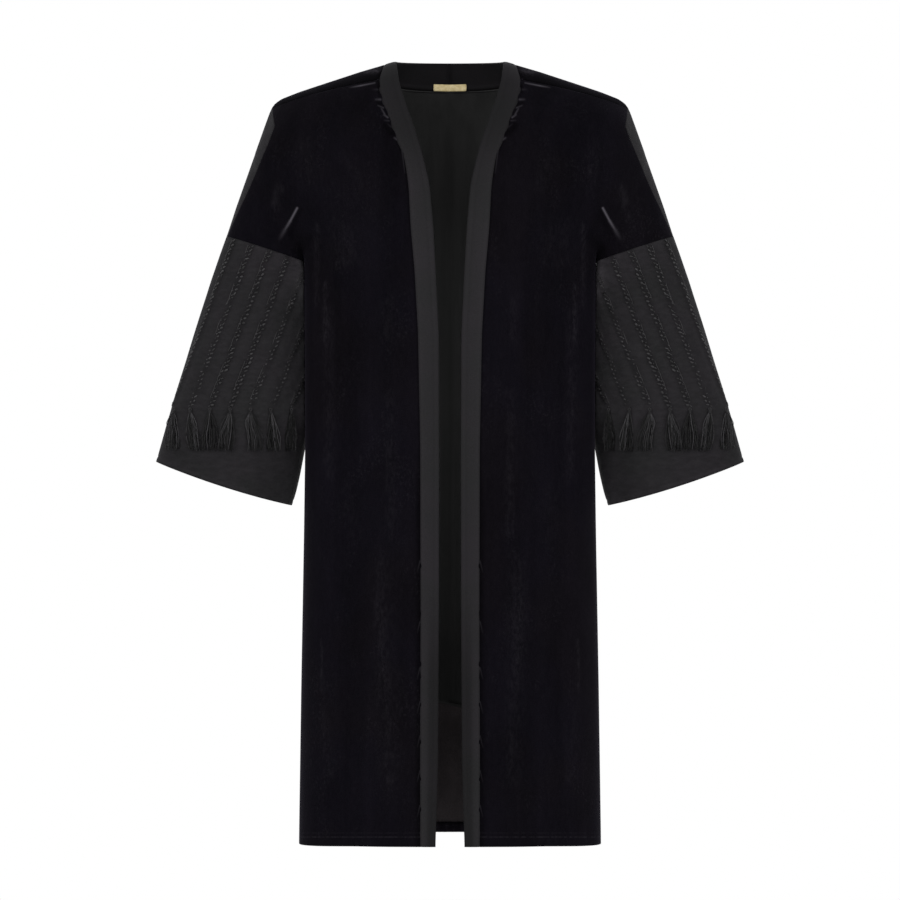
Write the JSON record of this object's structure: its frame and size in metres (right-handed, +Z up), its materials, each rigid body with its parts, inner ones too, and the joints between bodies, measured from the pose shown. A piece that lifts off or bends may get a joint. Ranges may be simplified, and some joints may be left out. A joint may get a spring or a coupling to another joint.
{
  "type": "open-front abaya with braided tasselled sleeves",
  "caption": "Long open-front velvet robe with a narrow crepe band round neck and front, and wide crepe sleeves with braid lines ending in tassels.",
  "frame": {"origin": "between the shoulders on the line through both shoulder tips, where the wearer carries the garment", "axes": "+Z up along the wearer, +X towards the wearer's left, -Y towards the front opening"},
  "size_m": [0.7924, 0.2094, 1.0583],
  "materials": {
    "velvet": "black cotton velvet with a short soft pile",
    "crepe": "charcoal crepe with a fine pebbled weave",
    "lining": "smooth black lining cloth",
    "thread": "black twisted silky thread",
    "label": "woven satin in pale gold, bare"
  },
  "bodies": {
    "root": {"back": "velvet", "back_hem_turn": "velvet", "back_lining": "lining", "band_left": "crepe", "band_right": "crepe", "front_left": "velvet", "front_right": "velvet", "label": "label", "neck_band_left": "crepe", "neck_band_right": "crepe", "sleeve_left": "crepe", "sleeve_right": "crepe", "tassel_left_back_1": "thread", "tassel_left_back_2": "thread", "tassel_left_back_3": "thread", "tassel_left_back_4": "thread", "tassel_left_back_5": "thread", "tassel_left_back_6": "thread", "tassel_left_back_7": "thread", "tassel_left_front_1": "thread", "tassel_left_front_2": "thread", "tassel_left_front_3": "thread", "tassel_left_front_4": "thread", "tassel_left_front_5": "thread", "tassel_left_front_6": "thread", "tassel_left_front_7": "thread", "tassel_right_back_1": "thread", "tassel_right_back_2": "thread", "tassel_right_back_3": "thread", "tassel_right_back_4": "thread", "tassel_right_back_5": "thread", "tassel_right_back_6": "thread", "tassel_right_back_7": "thread", "tassel_right_front_1": "thread", "tassel_right_front_2": "thread", "tassel_right_front_3": "thread", "tassel_right_front_4": "thread", "tassel_right_front_5": "thread", "tassel_right_front_6": "thread", "tassel_right_front_7": "thread", "upper_sleeve_back_left": "crepe", "upper_sleeve_back_right": "crepe"}
  },
  "joints": []
}
